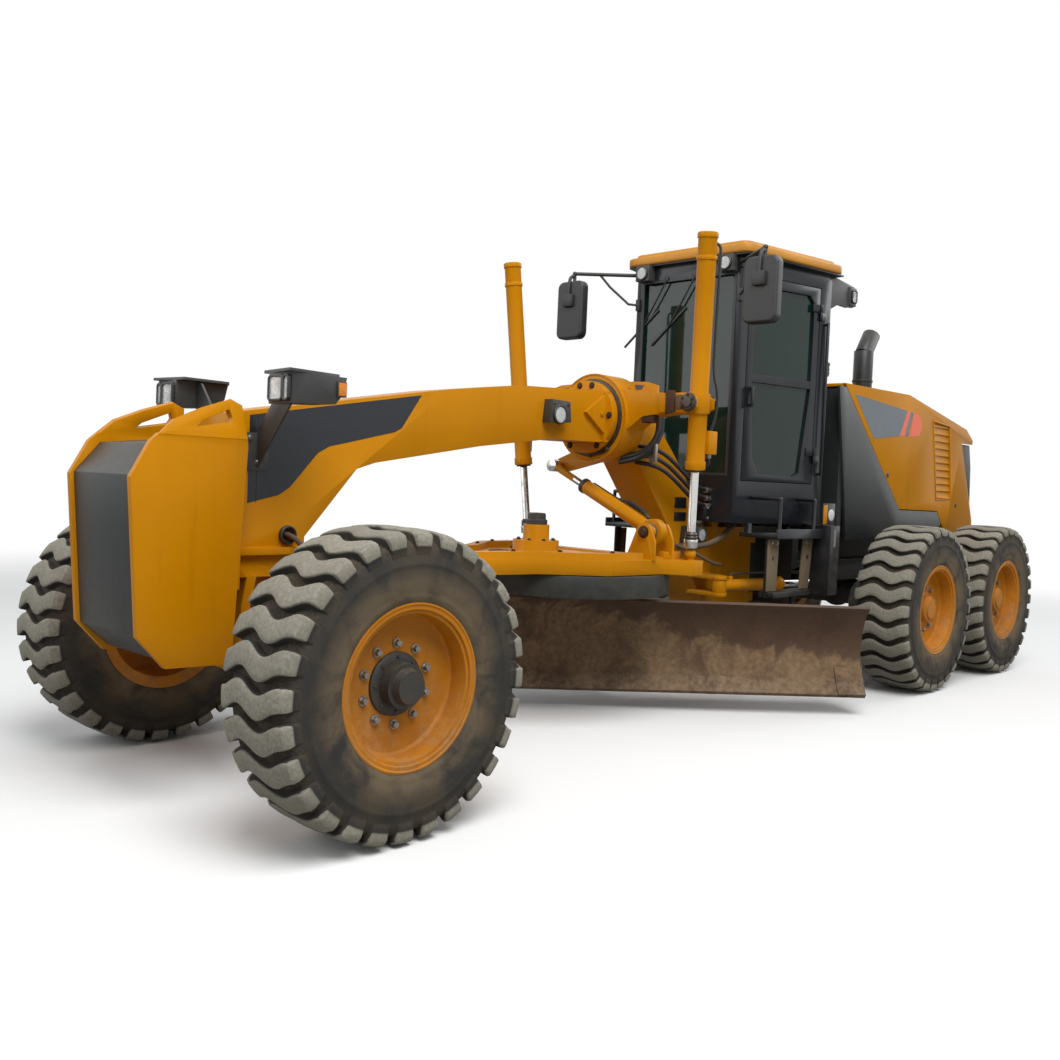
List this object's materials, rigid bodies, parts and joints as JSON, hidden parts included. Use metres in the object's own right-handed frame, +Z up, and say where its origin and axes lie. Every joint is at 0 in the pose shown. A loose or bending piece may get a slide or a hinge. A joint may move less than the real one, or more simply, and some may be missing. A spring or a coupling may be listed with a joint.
{
  "type": "motor grader",
  "caption": "Articulated motor grader: arched boom over a turning, tipping and sliding blade, leaning front wheels, tandem rear wheels, side-hinged cab doors and an engine hood",
  "frame": {"origin": "on the floor under the middle of the machine's length, between its left and right wheels", "axes": "+X forward, towards the nose; +Y the machine's left; +Z up"},
  "size_m": [8.6548, 2.6556, 3.375],
  "materials": {
    "yellow_paint": "yellow paint, dusty and worn",
    "black_paint": "black paint, satin",
    "dark_steel": "dark paint under dust",
    "worn_steel": "scoured steel under dried mud",
    "engine_iron": "painted casting",
    "black_plastic": "moulded plastic",
    "seat_cloth": "woven cloth",
    "cab_glass": "tinted glass",
    "chrome_rod": "hard chrome",
    "tyre": "dusty rubber"
  },
  "bodies": {
    "rear_frame": {"rear_frame": "dark_steel", "rear_axle": "dark_steel", "engine_block": "engine_iron", "hood": "yellow_paint", "engine_fairing": "black_paint", "rear_grille": "black_paint", "exhaust": "dark_steel", "air_cleaner": "black_plastic"},
    "front_frame": {"front_frame": "yellow_paint", "nose_plates": "yellow_paint", "nose_panel": "black_paint", "work_lamps": "black_paint", "front_axle": "yellow_paint", "saddle": "yellow_paint", "cab_frame": "black_paint", "cab_roof": "yellow_paint", "cab_glass": "cab_glass", "operator_chair": "seat_cloth", "steering_console": "black_plastic", "mirrors": "black_paint", "steps": "dark_steel"},
    "lean_bar": {"lean_bar": "yellow_paint"},
    "drawbar_ball": {"drawbar_ball": "worn_steel"},
    "drawbar": {"drawbar": "yellow_paint"},
    "circle": {"circle": "dark_steel"},
    "blade_carrier": {"blade_carrier": "dark_steel"},
    "moldboard": {"moldboard": "worn_steel"},
    "swing_socket": {"swing_socket": "worn_steel"},
    "swing_barrel": {"swing_barrel": "yellow_paint"},
    "swing_rod": {"swing_rod": "chrome_rod"},
    "door_left": {"door_left": "black_paint", "door_glass_left": "cab_glass"},
    "lean_bracket_left": {"lean_bracket_left": "yellow_paint"},
    "knuckle_left": {"knuckle_left": "yellow_paint"},
    "lift_barrel_left": {"lift_barrel_left": "yellow_paint"},
    "lift_rod_left": {"lift_rod_left": "chrome_rod"},
    "steer_barrel_left": {"steer_barrel_left": "yellow_paint"},
    "steer_rod_left": {"steer_rod_left": "chrome_rod"},
    "wheel_front_left": {"tyre_front_left": "tyre", "rim_front_left": "yellow_paint"},
    "wheel_mid_left": {"tyre_mid_left": "tyre", "rim_mid_left": "yellow_paint"},
    "wheel_rear_left": {"tyre_rear_left": "tyre", "rim_rear_left": "yellow_paint"},
    "door_right": {"door_right": "black_paint", "door_glass_right": "cab_glass"},
    "lean_bracket_right": {"lean_bracket_right": "yellow_paint"},
    "knuckle_right": {"knuckle_right": "yellow_paint"},
    "lift_barrel_right": {"lift_barrel_right": "yellow_paint"},
    "lift_rod_right": {"lift_rod_right": "chrome_rod"},
    "steer_barrel_right": {"steer_barrel_right": "yellow_paint"},
    "steer_rod_right": {"steer_rod_right": "chrome_rod"},
    "wheel_front_right": {"tyre_front_right": "tyre", "rim_front_right": "yellow_paint"},
    "wheel_mid_right": {"tyre_mid_right": "tyre", "rim_mid_right": "yellow_paint"},
    "wheel_rear_right": {"tyre_rear_right": "tyre", "rim_rear_right": "yellow_paint"}
  },
  "joints": [
    {"name": "articulation", "type": "hinge", "parent": "rear_frame", "child": "front_frame", "pos_m": [-1.038, 0, 0.95], "axis": [0, 0, 1], "range_deg": [-20, 20]},
    {"name": "wheel_lean", "type": "hinge", "parent": "front_frame", "child": "lean_bracket_left", "pos_m": [3.512, 0.745, 0.6], "axis": [1, 0, 0], "range_deg": [-17, 17]},
    {"name": "wheel_lean_right", "type": "hinge", "parent": "front_frame", "child": "lean_bracket_right", "pos_m": [3.512, -0.745, 0.6], "axis": [1, 0, 0], "range_deg": [-17.1, 17.1]},
    {"name": "lean_bar_slide", "type": "slide", "parent": "front_frame", "child": "lean_bar", "axis": [0, 1, 0], "range_m": [-0.069, 0.069]},
    {"name": "steering", "type": "hinge", "parent": "lean_bracket_left", "child": "knuckle_left", "pos_m": [3.512, 0.925, 0.674], "axis": [0, 0, 1], "range_deg": [-45, 45]},
    {"name": "steering_right", "type": "hinge", "parent": "lean_bracket_right", "child": "knuckle_right", "pos_m": [3.512, -0.925, 0.674], "axis": [0, 0, 1], "range_deg": [-45.1, 45.1]},
    {"name": "drawbar_swing", "type": "hinge", "parent": "front_frame", "child": "drawbar_ball", "pos_m": [3.082, 0, 0.9], "axis": [0, 0, -1], "range_deg": [-8, 8]},
    {"name": "drawbar_lift", "type": "hinge", "parent": "drawbar_ball", "child": "drawbar", "pos_m": [3.082, 0, 0.9], "axis": [0, 1, 0], "range_deg": [-18, 8.5]},
    {"name": "circle_turn", "type": "hinge", "parent": "drawbar", "child": "circle", "pos_m": [1.112, 0, 0.93], "axis": [0, 0, 1], "range_deg": [-96, 12]},
    {"name": "blade_pitch", "type": "hinge", "parent": "circle", "child": "blade_carrier", "pos_m": [0.79751, -0.34928, 0.33], "axis": [-0.7431, 0.6691, 0], "range_deg": [-5, 35]},
    {"name": "blade_shift", "type": "slide", "parent": "blade_carrier", "child": "moldboard", "axis": [-0.7431, 0.6691, 0], "range_m": [-0.95, 0.25]},
    {"name": "swing_socket_turn", "type": "hinge", "parent": "drawbar", "child": "swing_socket", "pos_m": [0.922, 0.56, 1.275], "axis": [0.7788, 0.0007, 0.6273], "range_deg": [-5.94, 5.94]},
    {"name": "swing_barrel_tilt", "type": "hinge", "parent": "swing_socket", "child": "swing_barrel", "pos_m": [0.922, 0.56, 1.275], "axis": [0.7368, -0.6747, 0.0437], "range_deg": [-44.13, 20.91]},
    {"name": "swing_rod_slide", "type": "slide", "parent": "swing_barrel", "child": "swing_rod", "axis": [-0.075, -0.9182, 0.3888], "range_m": [-0.283, 0.283]},
    {"name": "door_left_hinge", "type": "hinge", "parent": "front_frame", "child": "door_left", "pos_m": [-0.93688, 0.66882, 1.8], "axis": [0, 0, 1], "range_deg": [0, 90]},
    {"name": "lift_barrel_left_trunnion", "type": "hinge", "parent": "front_frame", "child": "lift_barrel_left", "pos_m": [0.82845, 0.79568, 2.11], "axis": [1, 0, 0], "range_deg": [-18.6, 18.6]},
    {"name": "lift_rod_left_slide", "type": "slide", "parent": "lift_barrel_left", "child": "lift_rod_left", "axis": [0.0784, 0.0622, 0.995], "range_m": [-0.728, 0.345]},
    {"name": "steer_barrel_left_pivot", "type": "hinge", "parent": "front_frame", "child": "steer_barrel_left", "pos_m": [-0.128, 0.395, 0.86], "axis": [0, 0, 1], "range_deg": [-5.5, 5.5]},
    {"name": "steer_rod_left_slide", "type": "slide", "parent": "steer_barrel_left", "child": "steer_rod_left", "axis": [-0.99, 0.1408, 0], "range_m": [-0.181, 0.181]},
    {"name": "wheel_front_left_roll", "type": "hinge", "parent": "knuckle_left", "child": "wheel_front_left", "pos_m": [3.512, 1.0775, 0.674], "axis": [0, 1, 0], "continuous": true},
    {"name": "wheel_mid_left_roll", "type": "hinge", "parent": "rear_frame", "child": "wheel_mid_left", "pos_m": [-1.988, 1.0775, 0.674], "axis": [0, 1, 0], "continuous": true},
    {"name": "wheel_rear_left_roll", "type": "hinge", "parent": "rear_frame", "child": "wheel_rear_left", "pos_m": [-3.528, 1.0775, 0.674], "axis": [0, 1, 0], "continuous": true},
    {"name": "door_right_hinge", "type": "hinge", "parent": "front_frame", "child": "door_right", "pos_m": [-0.93688, -0.66882, 1.8], "axis": [0, 0, -1], "range_deg": [0, 90]},
    {"name": "lift_barrel_right_trunnion", "type": "hinge", "parent": "front_frame", "child": "lift_barrel_right", "pos_m": [0.82845, -0.79568, 2.11], "axis": [1, 0, 0], "range_deg": [-18.6, 18.6]},
    {"name": "lift_rod_right_slide", "type": "slide", "parent": "lift_barrel_right", "child": "lift_rod_right", "axis": [0.0784, -0.0622, 0.995], "range_m": [-0.728, 0.345]},
    {"name": "steer_barrel_right_pivot", "type": "hinge", "parent": "front_frame", "child": "steer_barrel_right", "pos_m": [-0.128, -0.395, 0.86], "axis": [0, 0, 1], "range_deg": [-5.5, 5.5]},
    {"name": "steer_rod_right_slide", "type": "slide", "parent": "steer_barrel_right", "child": "steer_rod_right", "axis": [-0.99, -0.1408, 0], "range_m": [-0.181, 0.181]},
    {"name": "wheel_front_right_roll", "type": "hinge", "parent": "knuckle_right", "child": "wheel_front_right", "pos_m": [3.512, -1.0775, 0.674], "axis": [0, 1, 0], "continuous": true},
    {"name": "wheel_mid_right_roll", "type": "hinge", "parent": "rear_frame", "child": "wheel_mid_right", "pos_m": [-1.988, -1.0775, 0.674], "axis": [0, 1, 0], "continuous": true},
    {"name": "wheel_rear_right_roll", "type": "hinge", "parent": "rear_frame", "child": "wheel_rear_right", "pos_m": [-3.528, -1.0775, 0.674], "axis": [0, 1, 0], "continuous": true}
  ],
  "couplings": [
    {"joint": "wheel_lean_right", "follows": "wheel_lean", "ratio": 1},
    {"joint": "lean_bar_slide", "follows": "wheel_lean", "m_per_rad": -0.23},
    {"joint": "steering_right", "follows": "steering", "ratio": 1},
    {"joint": "swing_socket_turn", "follows": "drawbar_swing", "ratio": 0.7375},
    {"joint": "swing_barrel_tilt", "follows": "drawbar_lift", "ratio": 2.4447},
    {"joint": "swing_rod_slide", "follows": "drawbar_swing", "m_per_rad": 2.0136},
    {"joint": "lift_barrel_left_trunnion", "follows": "drawbar_swing", "ratio": 2.3147},
    {"joint": "lift_rod_left_slide", "follows": "drawbar_lift", "m_per_rad": 2.3149},
    {"joint": "steer_barrel_left_pivot", "follows": "articulation", "ratio": -0.2732},
    {"joint": "steer_rod_left_slide", "follows": "articulation", "m_per_rad": -0.5161},
    {"joint": "lift_barrel_right_trunnion", "follows": "drawbar_swing", "ratio": 2.3147},
    {"joint": "lift_rod_right_slide", "follows": "drawbar_lift", "m_per_rad": 2.3149},
    {"joint": "steer_barrel_right_pivot", "follows": "articulation", "ratio": -0.2732},
    {"joint": "steer_rod_right_slide", "follows": "articulation", "m_per_rad": 0.5161}
  ]
}
